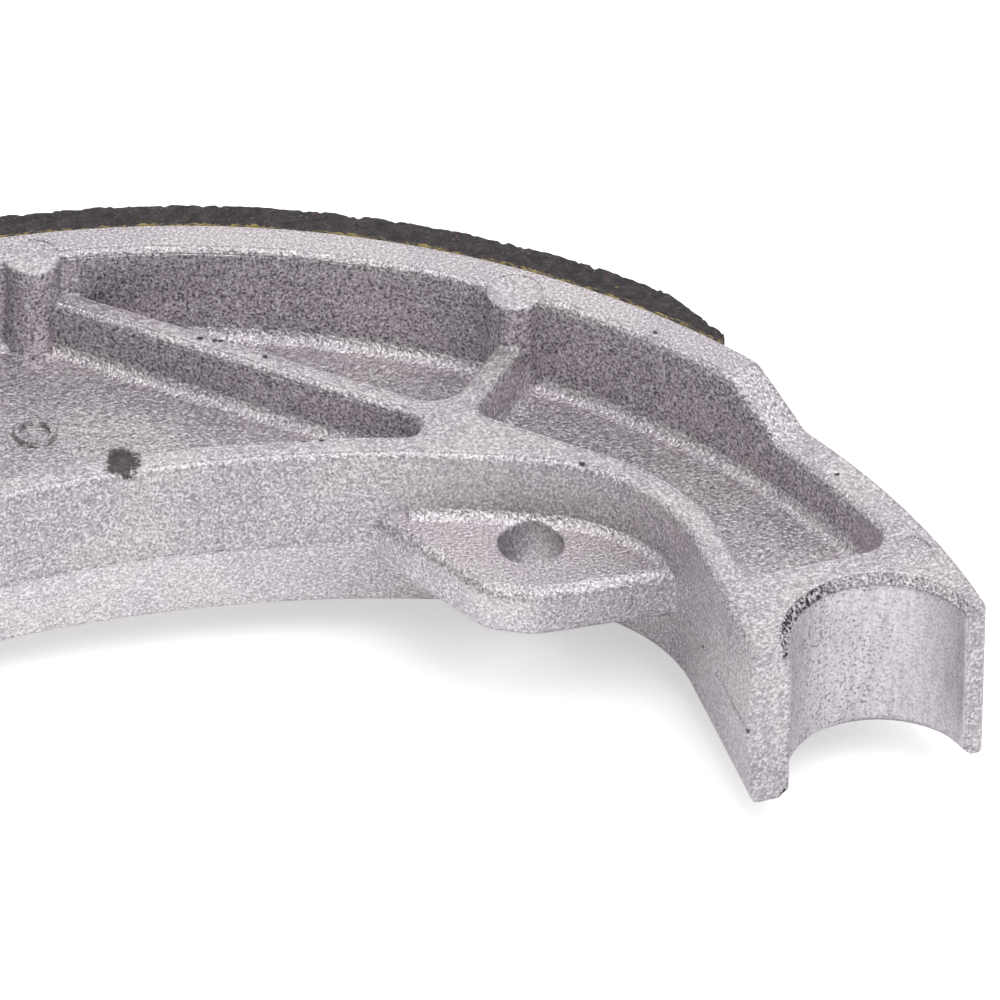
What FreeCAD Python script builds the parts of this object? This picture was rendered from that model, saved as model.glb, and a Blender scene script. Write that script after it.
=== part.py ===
import FreeCAD, Part
import Sketcher
import math
import os

os.makedirs("parts", exist_ok=True)
doc = FreeCAD.newDocument("BrakeShoe")
V = FreeCAD.Vector

# Driving dimensions
# The origin is the drum axis at the middle of the shoe's width. X runs to the pivot end,
# Y to the middle of the lining, and Z along the drum axis.
SIZES = {
    "drum_radius": 62.5,
    "rim_half_width": 10.0,
    "lining_thickness": 3.45,
    "rim_wall": 2.9,
    "rim_end_angle": 21.0,
    "web_half": 2.5,
    "end_half": 6.5,
    "floor_fillet": 1.1,
    "edge_fillet": 0.7,
    "inner_fillet": 0.6,
    "outer_fillet": 0.3,
    "leg_fillet": 0.5,
    "slope_angle": 24.0,
    "slope_start": 4.25,
    "slope_foot": -0.35,
    "slope_fillet": 2.0,
    "slope_run": 9.0,
    "slope_clear": 2.0,
    "slope_cut": 70.0,
    "socket_inset": 8.05,
    "socket_radius": 6.55,
    "socket_back_wall": 2.05,
    "socket_chamfer": 0.7,
    "pivot_face_y": 0.9,
    "cam_face_y": 6.0,
    "cam_allowance": 0.6,
    "spine_centre_y": -43.1,
    "spine_draft": 1.8,
    "corner_y": 15.0,
    "corner_radius": 12.9,
    "leg_lean": 2.6,
    "leg_draft": 0.45,
    "flange_wall": 2.3,
    "rib_angle": 44.27,
    "rib_inset": 11.57,
    "rib_wall": 2.1,
    "strut_angle": 133.79,
    "strut_line_left": 3.3,
    "strut_wall": 2.05,
    "junction_angle": 42.21,
    "junction_inset": 0.14692,
    "pocket_end_y": 9.75,
    "cam_pocket_end_y": 11.5,
    "turn_corner": 2.5,
    "tip_corner": 1.2,
    "foot_corner": 1.5,
    "rim_corner": 1.6,
    "boss_radius": 1.95,
    "boss_overlap": 0.2,
    "boss_outer_angle": 46.6,
    "boss_inner_angle": 81.7,
    "ear_half": 2.0,
    "ear_edge_fillet": 1.1,
    "ear_heel_corner": 2.5,
    "ear_toe_corner": 3.0,
    "ear_root_fillet": 1.2,
    "ear_root_overlap": 0.03,
    "ear_root_back_sweep": 7.9598,
    "ear_root_front_sweep": 48.8402,
    "ear_hole_along": 4.1,
    "ear_hole_up": 8.3,
    "ear_hole_radius": 2.25,
    "ear_hole_fillet": 0.3,
    "mark_radius": 1.98,
    "mark_depth": 0.15,
    "boss_mark_depth": 0.08,
    "mark_inset": 3.35,
    "mark_y": 8.45,
    "ring_x": 4.8,
    "ring_inset": 10.4,
    "ring_radius": 1.5,
    "ring_wall": 0.45,
    "ring_height": 0.3,
    "bond_thickness": 0.15,
    "bond_edge": 0.6,
    "bond_end_angle": 32.0,
    "lining_edge": 0.9,
    "lining_end_angle": 32.5,
    "lining_taper_angle": 37.8,
    "lining_taper_depth": 1.7,
}
sheet = doc.addObject("Spreadsheet::Sheet", "Sizes")
row = 1
for alias, value in SIZES.items():
    sheet.set("A%d" % row, alias)
    sheet.set("B%d" % row, repr(value))
    sheet.setAlias("B%d" % row, alias)
    row += 1
doc.recompute()


def size(alias):
    return getattr(sheet, alias)


DRUM = size("drum_radius")
BOND_OUTER = DRUM - size("lining_thickness")
RIM_OUTER = BOND_OUTER - size("bond_thickness")
RIM_INNER = RIM_OUTER - size("rim_wall")
SOCKET_X = RIM_OUTER - size("socket_inset")
LEG_X = SOCKET_X - size("socket_radius") - size("socket_back_wall")
CENTRE = V(0, 0, 0)
SPINE_CENTRE = V(0, size("spine_centre_y"), 0)
CORNER_CENTRE = V(LEG_X - size("corner_radius"), size("corner_y"), 0)


# Sketch helpers
def polar(centre, radius, degrees):
    turn = math.radians(degrees)
    return V(centre.x + radius * math.cos(turn), centre.y + radius * math.sin(turn), 0)


def mirrored(point):
    return V(-point.x, point.y, point.z)


def angle_of(point, centre):
    return math.atan2(point.y - centre.y, point.x - centre.x)


def origin_plane(body, role):
    return [feature for feature in body.Origin.OriginFeatures if feature.Role == role][0]


def new_sketch(body, name, role="XY_Plane", offset=None):
    sketch = body.newObject("Sketcher::SketchObject", name)
    sketch.AttachmentSupport = [(origin_plane(body, role), "")]
    sketch.MapMode = "FlatFace"
    if offset is not None:
        sketch.AttachmentOffset = offset
    return sketch


def left_of(direction):
    return V(-direction.y, direction.x, 0)


def heading(edge, point):
    """The unit direction of travel along an edge at one of its points."""
    start, end, centre, forward = edge
    if centre is None:
        return V(end - start).normalize()
    spoke = V(point - centre).normalize()
    return left_of(spoke) * (1 if forward else -1)


def shifted(edge, amount):
    """An edge moved to its left: a line as (point, direction), an arc as (centre, radius)."""
    start, end, centre, forward = edge
    if centre is None:
        direction = heading(edge, start)
        return ("line", start + left_of(direction) * amount, direction)
    radius = (start - centre).Length
    return ("arc", centre, radius - amount if forward else radius + amount)


def meets(first, second):
    """The points where two shifted edges cross."""
    if first[0] == "line" and second[0] == "line":
        whole = first[2].x * second[2].y - first[2].y * second[2].x
        gap = second[1] - first[1]
        return [first[1] + first[2] * ((gap.x * second[2].y - gap.y * second[2].x) / whole)]
    if first[0] == "arc" and second[0] == "line":
        first, second = second, first
    if first[0] == "line":
        gap = second[1] - first[1]
        along = gap.dot(first[2])
        foot = first[1] + first[2] * along
        spread = math.sqrt(second[2] ** 2 - (foot - second[1]).Length ** 2)
        return [foot + first[2] * spread, foot - first[2] * spread]
    gap = second[1] - first[1]
    along = (first[2] ** 2 - second[2] ** 2 + gap.Length ** 2) / (2 * gap.Length)
    direction = V(gap).normalize()
    spread = math.sqrt(first[2] ** 2 - along ** 2)
    foot = first[1] + direction * along
    return [foot + left_of(direction) * spread, foot - left_of(direction) * spread]


def nearest_on(edge, point):
    start, end, centre, forward = edge
    if centre is None:
        direction = heading(edge, start)
        return start + direction * (point - start).dot(direction)
    return centre + V(point - centre).normalize() * (start - centre).Length


def closed_path(sketch, start, steps):
    """Draws a closed outline. A step is (end,) for a line, (end, centre, counterclockwise) for an arc,
    and a last item gives the radius that rounds the outline at that end."""
    edges = []
    rounds = []
    here = start
    for step in steps:
        arc = len(step) > 2
        centre = step[1] if arc else None
        edges.append((here, step[0], centre, step[2] if arc else True))
        rounds.append(step[-1] if len(step) in (2, 4) else 0)
        here = step[0]
    count = len(edges)
    starts = [edge[0] for edge in edges]
    finishes = [edge[1] for edge in edges]
    blends = [None] * count
    for index in range(count):
        if not rounds[index]:
            continue
        after = (index + 1) % count
        corner = edges[index][1]
        inward, outward = heading(edges[index], corner), heading(edges[after], corner)
        turn = 1 if inward.x * outward.y - inward.y * outward.x > 0 else -1
        shift = turn * rounds[index]
        centres = meets(shifted(edges[index], shift), shifted(edges[after], shift))
        centre = min(centres, key=lambda candidate: (candidate - corner).Length)
        finishes[index] = nearest_on(edges[index], centre)
        starts[after] = nearest_on(edges[after], centre)
        blends[index] = (finishes[index], starts[after], centre, turn > 0)
    pieces = []
    for index in range(count):
        start, end, centre, forward = edges[index]
        pieces.append((starts[index], finishes[index], centre, forward))
        if blends[index]:
            pieces.append(blends[index])
    ids = []
    for start, end, centre, forward in pieces:
        if centre is None:
            ids.append(sketch.addGeometry(Part.LineSegment(start, end)))
            continue
        circle = Part.Circle(centre, V(0, 0, 1), (start - centre).Length)
        first, last = (start, end) if forward else (end, start)
        begin, finish = angle_of(first, centre), angle_of(last, centre)
        if finish <= begin:
            finish += 2 * math.pi
        ids.append(sketch.addGeometry(Part.ArcOfCircle(circle, begin, finish)))
    for index, piece in enumerate(pieces):
        after = (index + 1) % len(pieces)
        end_point = 2 if piece[3] else 1
        start_point = 1 if pieces[after][3] else 2
        joined = Sketcher.Constraint("Coincident", ids[index], end_point, ids[after], start_point)
        sketch.addConstraint(joined)
    return ids


def crossing(first_normal, first_value, second_normal, second_value):
    """The point where two lines normal . P = value meet."""
    whole = first_normal.x * second_normal.y - first_normal.y * second_normal.x
    x = (first_value * second_normal.y - first_normal.y * second_value) / whole
    y = (first_normal.x * second_value - first_value * second_normal.x) / whole
    return V(x, y, 0)


def line_on_circle(normal, value, centre, radius, forward):
    """The point where a line normal . P = value meets a circle, on the side forward times its direction."""
    unit = V(normal).normalize()
    gap = (value / normal.Length) - unit.dot(centre)
    foot = centre + unit * gap
    along = V(-unit.y, unit.x, 0) * (forward * math.sqrt(radius ** 2 - gap ** 2))
    return foot + along


def bind(feature, name, expression):
    feature.setExpression(name, expression)


def add_circle(sketch, centre, radius):
    """Adds a circle whose radius is an expression of the sheet's sizes."""
    circle = sketch.addGeometry(Part.Circle(centre, V(0, 0, 1), 1))
    constraint = sketch.addConstraint(Sketcher.Constraint("Radius", circle, 1))
    for name, value in (("X", centre.x), ("Y", centre.y)):
        sketch.addConstraint(Sketcher.Constraint("Distance" + name, circle, 3, value))
    bind(sketch, "Constraints[%d]" % constraint, "Sizes." + radius)


# Casting
casting = doc.addObject("PartDesign::Body", "shoe_casting")
casting.Label = "shoe_casting"


def plan_outline(name, height, spine_radius, corner_radius, corner_centre):
    """The casting's outline at one height: outer arc, cam end, drafted inner wall and pivot end."""
    sketch = new_sketch(casting, name, "XY_Plane", FreeCAD.Placement(V(0, 0, height), FreeCAD.Rotation()))
    pivot_y = size("pivot_face_y")
    cam_y = size("cam_face_y") - size("cam_allowance")
    pivot_outer = V(math.sqrt(RIM_OUTER ** 2 - pivot_y ** 2), pivot_y, 0)
    cam_outer = V(-math.sqrt(RIM_OUTER ** 2 - cam_y ** 2), cam_y, 0)
    lean = size("leg_lean")
    slope = math.tan(math.radians(lean))
    bend = polar(corner_centre, corner_radius, -lean)
    pivot_inner = V(bend.x - slope * (bend.y - pivot_y), pivot_y, 0)
    cam_inner = V(-(bend.x - slope * (bend.y - cam_y)), cam_y, 0)
    away = corner_centre - SPINE_CENTRE
    shoulder = SPINE_CENTRE + V(away).normalize() * spine_radius
    closed_path(sketch, pivot_outer, [
        (cam_outer, V(0, 0, 0), True),
        (cam_inner,),
        (mirrored(bend),),
        (mirrored(shoulder), mirrored(corner_centre), False),
        (shoulder, SPINE_CENTRE, False),
        (bend, corner_centre, False),
        (pivot_inner,),
        (pivot_outer,),
    ])
    return sketch


END_HALF = size("end_half")
reach = CORNER_CENTRE - SPINE_CENTRE
shallow_spine = reach.Length + size("corner_radius")
deep_spine = shallow_spine - size("spine_draft")
deep_lean_x = LEG_X - size("leg_draft")
gap_y = CORNER_CENTRE.y - SPINE_CENTRE.y
deep_corner = (deep_spine ** 2 - gap_y ** 2 - deep_lean_x ** 2) / (2 * (deep_spine - deep_lean_x))
deep_centre = V(deep_lean_x - deep_corner, CORNER_CENTRE.y, 0)

low = plan_outline("outline_low", -END_HALF, shallow_spine, size("corner_radius"), CORNER_CENTRE)
middle = plan_outline("outline_middle", 0, deep_spine, deep_corner, deep_centre)
high = plan_outline("outline_high", END_HALF, shallow_spine, size("corner_radius"), CORNER_CENTRE)
core = casting.newObject("PartDesign::AdditiveLoft", "core")
core.Profile = low
core.Sections = [middle, high]
core.Ruled = True
casting.Tip = core
doc.recompute()


# Rim
RIM_HALF = size("rim_half_width")
rim_end = size("rim_end_angle")
rim_plan = new_sketch(casting, "rim_plan")
closed_path(rim_plan, polar(V(0, 0, 0), RIM_OUTER, rim_end), [
    (polar(V(0, 0, 0), RIM_OUTER, 180 - rim_end), V(0, 0, 0), True),
    (polar(V(0, 0, 0), RIM_INNER, 180 - rim_end),),
    (polar(V(0, 0, 0), RIM_INNER, rim_end), V(0, 0, 0), False),
    (polar(V(0, 0, 0), RIM_OUTER, rim_end),),
])
rim = casting.newObject("PartDesign::Pad", "rim")
rim.Profile = rim_plan
rim.Midplane = True
bind(rim, "Length", "2 * Sizes.rim_half_width")
casting.Tip = rim
doc.recompute()


# Slopes from the rim down to the ends
def slope_sketch(name, side):
    turn = FreeCAD.Rotation(V(0, 1, 0), side * size("slope_angle"))
    sketch = new_sketch(casting, name, "YZ_Plane", FreeCAD.Placement(V(0, 0, 0), turn))
    start, foot = size("slope_start"), size("slope_foot")
    run, clear = size("slope_run"), size("slope_clear")
    for way in (1, -1):
        corners = [(start + clear, RIM_HALF), (start, RIM_HALF), (foot, END_HALF), (foot - run, END_HALF)]
        corners += [(foot - run, RIM_HALF + clear), (start + clear, RIM_HALF + clear)]
        radius = size("slope_fillet")
        steps = [(V(across, way * up, 0),) for across, up in corners]
        steps[1] += (radius,)
        steps[2] += (radius,)
        closed_path(sketch, steps[-1][0], steps)
    return sketch


slope_right = casting.newObject("PartDesign::Pocket", "slope_right")
slope_right.Profile = slope_sketch("slope_profile_right", 1)
slope_right.Reversed = True
bind(slope_right, "Length", "Sizes.slope_cut")
casting.Tip = slope_right
doc.recompute()

slope_left = casting.newObject("PartDesign::Pocket", "slope_left")
slope_left.Profile = slope_sketch("slope_profile_left", -1)
slope_left.Reversed = False
bind(slope_left, "Length", "Sizes.slope_cut")
casting.Tip = slope_left
doc.recompute()

# Pockets between the rim, the ribs and the flange
flange_outer = shallow_spine + size("flange_wall")
corner_outer = size("corner_radius") + size("flange_wall")
RIB_NORMAL = polar(CENTRE, 1, size("rib_angle"))
STRUT_NORMAL = polar(CENTRE, 1, size("strut_angle"))
JUNCTION_NORMAL = polar(CENTRE, 1, size("junction_angle"))
rib_near = RIM_INNER - size("rib_inset")
rib_far = rib_near + size("rib_wall")
strut_left = size("strut_line_left")
strut_right = strut_left - size("strut_wall")
floor_level = FreeCAD.Placement(V(0, 0, size("web_half")), FreeCAD.Rotation())
pocket_plan = new_sketch(casting, "pocket_plan", "XY_Plane", floor_level)


def between_pocket(side):
    """The pocket between the rib and the strut, bounded by the rim."""
    flip = mirrored if side < 0 else V
    start = flip(line_on_circle(RIB_NORMAL, rib_far, CENTRE, RIM_INNER, 1))
    turn = flip(crossing(RIB_NORMAL, rib_far, STRUT_NORMAL, strut_left))
    top = flip(line_on_circle(STRUT_NORMAL, strut_left, CENTRE, RIM_INNER, -1))
    closed_path(pocket_plan, start, [(turn, size("turn_corner")), (top,), (start, CENTRE, side > 0)])


def end_pocket(side, end_y):
    """The pocket from the strut to an end, bounded by the rim and the flange."""
    flip = mirrored if side < 0 else V
    lean = size("leg_lean")
    top = line_on_circle(STRUT_NORMAL, strut_right, CENTRE, RIM_INNER, -1)
    # Flange side: a straight edge that runs from the strut tangent to the corner arc.
    junction_line = JUNCTION_NORMAL.dot(CORNER_CENTRE) + corner_outer - size("junction_inset")
    tip = crossing(STRUT_NORMAL, strut_right, JUNCTION_NORMAL, junction_line)
    away = tip - CORNER_CENTRE
    touch_turn = math.degrees(angle_of(tip, CORNER_CENTRE) - math.acos(corner_outer / away.Length))
    touch = polar(CORNER_CENTRE, corner_outer, touch_turn)
    bend = polar(CORNER_CENTRE, corner_outer, -lean)
    foot = V(bend.x - math.tan(math.radians(lean)) * (bend.y - end_y), end_y, 0)
    last = V(math.sqrt(RIM_INNER ** 2 - end_y ** 2), end_y, 0)
    points = [flip(point) for point in (top, tip, touch, bend, foot, last)]
    top, tip, touch, bend, foot, last = points
    closed_path(pocket_plan, top, [
        (tip, size("tip_corner")),
        (touch,),
        (bend, flip(CORNER_CENTRE), side < 0),
        (foot, size("foot_corner")),
        (last, size("rim_corner")),
        (top, CENTRE, side > 0),
    ])


def middle_pocket():
    """The wide pocket between the two ribs, bounded by the rim and the flange."""
    start = line_on_circle(RIB_NORMAL, rib_near, CENTRE, RIM_INNER, 1)
    tip = line_on_circle(RIB_NORMAL, rib_near, SPINE_CENTRE, flange_outer, 1)
    closed_path(pocket_plan, start, [
        (tip, size("tip_corner")),
        (mirrored(tip), SPINE_CENTRE, True, size("tip_corner")),
        (mirrored(start),),
        (start, CENTRE, False),
    ])


between_pocket(1)
between_pocket(-1)
end_pocket(1, size("pocket_end_y"))
end_pocket(-1, size("cam_pocket_end_y"))
middle_pocket()
pockets = casting.newObject("PartDesign::Pocket", "pockets")
pockets.Profile = pocket_plan
pockets.Reversed = True
bind(pockets, "Length", "Sizes.rim_half_width - Sizes.web_half + 1")
casting.Tip = pockets
doc.recompute()
pockets_below = casting.newObject("PartDesign::Mirrored", "pockets_below")
pockets_below.Originals = [pockets]
pockets_below.MirrorPlane = (origin_plane(casting, "XY_Plane"), [""])
casting.Tip = pockets_below
doc.recompute()


# Rounded edges
def rib_value(point):
    return RIB_NORMAL.x * abs(point.x) + RIB_NORMAL.y * point.y


def strut_value(point):
    return STRUT_NORMAL.x * abs(point.x) + STRUT_NORMAL.y * point.y


def spine_distance(point):
    return math.hypot(point.x, point.y - SPINE_CENTRE.y)


def corner_distance(point):
    return math.hypot(abs(point.x) - CORNER_CENTRE.x, point.y - CORNER_CENTRE.y)


def by_between(point):
    return rib_value(point) > rib_far - 0.01 and strut_value(point) > strut_left - 0.01


def by_middle(point):
    return rib_value(point) < rib_near + 0.01 and spine_distance(point) > flange_outer - 0.01


def by_end(point):
    beyond = point.y < CORNER_CENTRE.y or corner_distance(point) > corner_outer - 0.01
    within = abs(point.x) > CORNER_CENTRE.x + corner_outer - 1 or point.y > CORNER_CENTRE.y
    above = point.y > size("pocket_end_y") - 0.01
    return strut_value(point) < strut_right + 0.01 and beyond and within and above


def points_of(edge):
    low, high = edge.ParameterRange
    return [edge.valueAt(low + (high - low) * step / 4) for step in range(5)]


def add_fillet(name, alias, height, belongs, side):
    """Rounds the edges at one height that bound one pocket, on both faces of the casting."""
    for level in (height, -height):
        base = casting.Tip
        names = []
        for index, edge in enumerate(base.Shape.Edges):
            points = points_of(edge)
            flat = all(abs(point.z - level) < 0.001 for point in points)
            here = all(belongs(point) for point in points)
            inside = all(math.hypot(point.x, point.y) < RIM_INNER + 0.001 for point in points)
            on_rim = all(abs(math.hypot(point.x, point.y) - RIM_INNER) < 0.001 for point in points)
            sided = side * points[2].x >= 0 if side else True
            if flat and here and inside and sided and not (on_rim and height > size("web_half")):
                names.append("Edge%d" % (index + 1))
        fillet = casting.newObject("PartDesign::Fillet", name + ("_above" if level > 0 else "_below"))
        fillet.Base = (base, names)
        bind(fillet, "Radius", "Sizes." + alias)
        casting.Tip = fillet
        doc.recompute()


add_fillet("floor_end", "floor_fillet", size("web_half"), by_end, 1)
add_fillet("floor_between", "floor_fillet", size("web_half"), by_between, 1)
add_fillet("floor_middle", "floor_fillet", size("web_half"), by_middle, 0)
add_fillet("floor_between_cam", "floor_fillet", size("web_half"), by_between, -1)
add_fillet("floor_end_cam", "floor_fillet", size("web_half"), by_end, -1)
add_fillet("edge_between", "edge_fillet", size("end_half"), by_between, 1)
add_fillet("edge_between_cam", "edge_fillet", size("end_half"), by_between, -1)
add_fillet("edge_end", "edge_fillet", size("end_half"), by_end, 1)
add_fillet("edge_middle", "edge_fillet", size("end_half"), by_middle, 0)


def inner_wall(point):
    """Whether a point lies on the rim of the drafted inner wall at an end's height."""
    if point.y > CORNER_CENTRE.y:
        on_spine = abs(spine_distance(point) - shallow_spine) < 0.01
        return on_spine or abs(corner_distance(point) - size("corner_radius")) < 0.01
    return abs(point.x) < CORNER_CENTRE.x + size("corner_radius") + 0.01


base = casting.Tip
names = []
for index, edge in enumerate(base.Shape.Edges):
    points = points_of(edge)
    if all(abs(abs(point.z) - END_HALF) < 0.001 and inner_wall(point) for point in points):
        names.append("Edge%d" % (index + 1))
inner_edges = casting.newObject("PartDesign::Fillet", "inner_edges")
inner_edges.Base = (base, names)
bind(inner_edges, "Radius", "Sizes.inner_fillet")
casting.Tip = inner_edges
doc.recompute()

# Half-round socket for the anchor pin
socket_plan = new_sketch(casting, "socket_plan")
add_circle(socket_plan, V(SOCKET_X, 0, 0), "socket_radius")
socket = casting.newObject("PartDesign::Pocket", "socket")
socket.Profile = socket_plan
socket.Midplane = True
bind(socket, "Length", "4 * Sizes.rim_half_width")
casting.Tip = socket
doc.recompute()


def on_socket(point, radius):
    return abs(math.hypot(point.x - SOCKET_X, point.y) - radius) < 0.001


base = casting.Tip
names = []
for index, edge in enumerate(base.Shape.Edges):
    points = points_of(edge)
    level = all(abs(abs(point.z) - END_HALF) < 0.001 for point in points)
    if level and all(on_socket(point, size("socket_radius")) for point in points):
        names.append("Edge%d" % (index + 1))
socket_edges = casting.newObject("PartDesign::Chamfer", "socket_edges")
socket_edges.Base = (base, names)
bind(socket_edges, "Size", "Sizes.socket_chamfer")
casting.Tip = socket_edges
doc.recompute()

# Cam end machined flat where the cam bears
cam_plan = new_sketch(casting, "cam_plan")
CAM_Y = size("cam_face_y")
cam_low = CAM_Y - 2 * size("cam_allowance")
closed_path(cam_plan, V(-RIM_OUTER - size("cam_allowance"), cam_low, 0), [
    (V(-CORNER_CENTRE.x, cam_low, 0),),
    (V(-CORNER_CENTRE.x, CAM_Y, 0),),
    (V(-RIM_OUTER - size("cam_allowance"), CAM_Y, 0),),
    (V(-RIM_OUTER - size("cam_allowance"), cam_low, 0),),
])
cam_pad = casting.newObject("PartDesign::Pocket", "cam_pad")
cam_pad.Profile = cam_plan
cam_pad.Midplane = True
bind(cam_pad, "Length", "4 * Sizes.rim_half_width")
casting.Tip = cam_pad
doc.recompute()

# Bosses that stand along the rim's inner wall
BOSS_CIRCLE = RIM_INNER + size("boss_overlap")
boss_plan = new_sketch(casting, "boss_plan")
for angle in (size("boss_outer_angle"), size("boss_inner_angle")):
    for turn in (angle, 180 - angle):
        add_circle(boss_plan, polar(CENTRE, BOSS_CIRCLE, turn), "boss_radius")
bosses = casting.newObject("PartDesign::Pad", "bosses")
bosses.Profile = boss_plan
bosses.Midplane = True
bind(bosses, "Length", "2 * Sizes.rim_half_width")
casting.Tip = bosses
doc.recompute()

# Spring ears: the last two corners lie inside the flange
EAR_HEEL = CORNER_CENTRE + V(-0.75, 4.4, 0)
EAR_TOE = CORNER_CENTRE + V(2.25, 2.6, 0)
EAR_BACK = CORNER_CENTRE + V(-6.15, 16.5, 0)
EAR_FRONT = CORNER_CENTRE + V(13.85, 1.5, 0)
EAR_ROOTS = [CORNER_CENTRE + V(13.65, 7.0, 0), CORNER_CENTRE + V(6.65, 13.5, 0)]
ear_plan = new_sketch(casting, "ear_plan")
for flip in (V, mirrored):
    closed_path(ear_plan, flip(EAR_ROOTS[-1]), [
        (flip(EAR_BACK),),
        (flip(EAR_HEEL), size("ear_heel_corner")),
        (flip(EAR_TOE), size("ear_toe_corner")),
        (flip(EAR_FRONT),),
        (flip(EAR_ROOTS[0]),),
        (flip(EAR_ROOTS[1]),),
    ])
ears = casting.newObject("PartDesign::Pad", "ears")
ears.Profile = ear_plan
ears.Midplane = True
bind(ears, "Length", "2 * Sizes.ear_half")
casting.Tip = ears
doc.recompute()


def beside(point, start, end):
    """Whether a point lies on the straight side from start to end."""
    along = V(end - start).normalize()
    away = point - start
    return 0 <= away.dot(along) <= (end - start).Length and abs(away.dot(left_of(along))) < 0.01


def ear_side(point):
    """Whether a point lies on an ear's free side rather than on the inner wall."""
    here = V(abs(point.x), point.y, 0)
    if min((here - EAR_HEEL).Length, (here - EAR_TOE).Length) < 1.5:
        return True
    corners = [EAR_BACK, EAR_HEEL, EAR_TOE, EAR_FRONT]
    return any(beside(here, start, end) for start, end in zip(corners, corners[1:]))


def at_height(points, height):
    return all(abs(abs(point.z) - height) < 0.001 for point in points)


def picked_edges(wanted):
    """The names of the present shape's edges whose points answer to wanted."""
    edges = casting.Tip.Shape.Edges
    return ["Edge%d" % (index + 1) for index, edge in enumerate(edges) if wanted(points_of(edge))]


def round_edges(name, alias, wanted):
    base = casting.Tip
    names = picked_edges(wanted)
    fillet = casting.newObject("PartDesign::Fillet", name)
    fillet.Base = (base, names)
    bind(fillet, "Radius", "Sizes." + alias)
    casting.Tip = fillet
    doc.recompute()


round_edges("ear_edges", "ear_edge_fillet", lambda points: at_height(points, size("ear_half"))
            and all(ear_side(point) for point in points[1:-1]))

# Spring holes through the ears
hole_plan = new_sketch(casting, "hole_plan")
EAR_HOLE = CORNER_CENTRE + V(size("ear_hole_along"), size("ear_hole_up"), 0)
for centre in (EAR_HOLE, mirrored(EAR_HOLE)):
    add_circle(hole_plan, centre, "ear_hole_radius")
spring_holes = casting.newObject("PartDesign::Pocket", "spring_holes")
spring_holes.Profile = hole_plan
spring_holes.Midplane = True
bind(spring_holes, "Length", "3 * Sizes.ear_half")
casting.Tip = spring_holes
doc.recompute()


def on_ear_hole(point):
    here = V(abs(point.x), point.y, 0)
    return abs((here - EAR_HOLE).Length - size("ear_hole_radius")) < 0.001


round_edges("hole_edges", "ear_hole_fillet", lambda points: at_height(points, size("ear_half"))
            and all(on_ear_hole(point) for point in points))

# Hollow fillets between the spring ears and the inner wall
ear_half = size("ear_half")
ear_share = ear_half / END_HALF
root_wall = deep_spine + ear_share * size("spine_draft")
root_centre = deep_centre + (CORNER_CENTRE - deep_centre) * ear_share
root_reach = root_centre - SPINE_CENTRE
root_turn = math.degrees(angle_of(root_centre, SPINE_CENTRE))


def root_sketch(name, axis_point, wall):
    """The section of the fillets above and below an ear, in the upright plane through both of their axes.
    Each fillet is an arc tangent to the ear and to the drafted wall, and sinks a little into both."""
    place = FreeCAD.Placement(V(axis_point.x, 0, -axis_point.y), FreeCAD.Rotation(V(0, 1, 0), root_turn))
    sketch = new_sketch(casting, name, "XZ_Plane", place)
    fillet = size("ear_root_fillet")
    radius = fillet + size("ear_root_overlap")
    lean = math.atan(size("spine_draft") / END_HALF)
    centre = V(wall + fillet * (math.tan(lean) - 1 / math.cos(lean)), ear_half + fillet, 0)
    foot = centre - V(0, radius, 0)
    crest = centre + V(radius * math.cos(lean), -radius * math.sin(lean), 0)
    inside = wall + fillet
    low_foot, low_crest, low_centre = [V(point.x, -point.y, 0) for point in (foot, crest, centre)]
    closed_path(sketch, foot, [
        (crest, centre, True),
        (V(inside, crest.y, 0),),
        (V(inside, low_crest.y, 0),),
        (low_crest,),
        (low_foot, low_centre, True),
        (foot,),
    ])
    return sketch


def root_strip(name, profile, sweep, reverse):
    strip = casting.newObject("PartDesign::Revolution", name)
    strip.Profile = profile
    strip.ReferenceAxis = (profile, ["V_Axis"])
    bind(strip, "Angle", "Sizes." + sweep)
    strip.Reversed = reverse
    casting.Tip = strip
    doc.recompute()
    return strip


back_profile = root_sketch("root_profile_back", SPINE_CENTRE, root_wall)
back_strip = root_strip("ear_root_back", back_profile, "ear_root_back_sweep", False)
front_profile = root_sketch("root_profile_front", root_centre, root_wall - root_reach.Length)
front_strip = root_strip("ear_root_front", front_profile, "ear_root_front_sweep", True)
ear_roots = casting.newObject("PartDesign::Mirrored", "ear_roots")
ear_roots.Originals = [back_strip, front_strip]
ear_roots.MirrorPlane = (origin_plane(casting, "YZ_Plane"), [""])
casting.Tip = ear_roots
doc.recompute()

# The spring holes cut on through the fillets
holes_through = casting.newObject("PartDesign::Pocket", "holes_through")
holes_through.Profile = hole_plan
holes_through.Midplane = True
bind(holes_through, "Length", "5 * Sizes.ear_half")
casting.Tip = holes_through
doc.recompute()


def on_outer(point):
    return abs(math.hypot(point.x, point.y) - RIM_OUTER) < 0.001


def leg_corner(points):
    """Whether an edge is an upright corner on an end's outer side."""
    upright = max(abs(points[0].x - point.x) for point in points) < 0.001
    return upright and all(on_outer(point) and point.y < size("cam_face_y") + 0.001 for point in points)


# Rounded corners of the ends and of the rim's outer edges
round_edges("leg_corners", "leg_fillet", leg_corner)
round_edges("outer_edges", "outer_fillet", lambda points: all(abs(point.z) > END_HALF - 0.01 for point in points)
            and all(on_outer(point) for point in points))

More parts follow.
